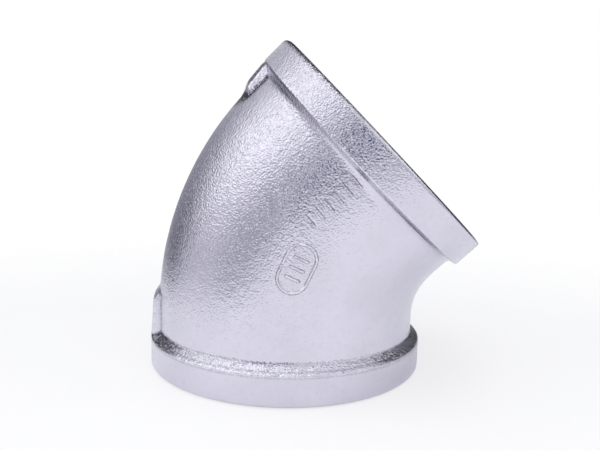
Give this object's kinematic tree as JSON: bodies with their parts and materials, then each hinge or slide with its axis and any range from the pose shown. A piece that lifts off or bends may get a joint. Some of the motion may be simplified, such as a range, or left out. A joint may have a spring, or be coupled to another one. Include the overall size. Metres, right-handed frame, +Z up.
{
  "type": "pipe elbow",
  "caption": "Banded 45 degree pipe elbow in galvanised cast iron, with a taper pipe thread inside each end.",
  "frame": {"origin": "centre of the lower end face, where that face meets the lower leg's axis", "axes": "+Z up the lower leg's axis, into the fitting. The upper leg's axis crosses it 66.4 mm up and leans 45 degrees towards +X. Y = 0 is the plane that the bend lies in, and the casting marks are on the -Y side."},
  "size_m": [0.1635, 0.1372, 0.1613],
  "materials": {
    "galvanised_iron": "bright hot-dip zinc over a cast skin, with a fine orange-peel ripple",
    "cut_thread": "machined thread, lightly oiled, with fine turning marks"
  },
  "bodies": {
    "root": {"elbow_body": "galvanised_iron", "lower_band": "galvanised_iron", "upper_band": "galvanised_iron", "lower_thread": "cut_thread", "upper_thread": "cut_thread", "lower_rib": "galvanised_iron", "upper_rib": "galvanised_iron", "ring_mark": "galvanised_iron", "ring_mark_bars": "galvanised_iron", "dash_marks": "galvanised_iron"}
  },
  "joints": []
}
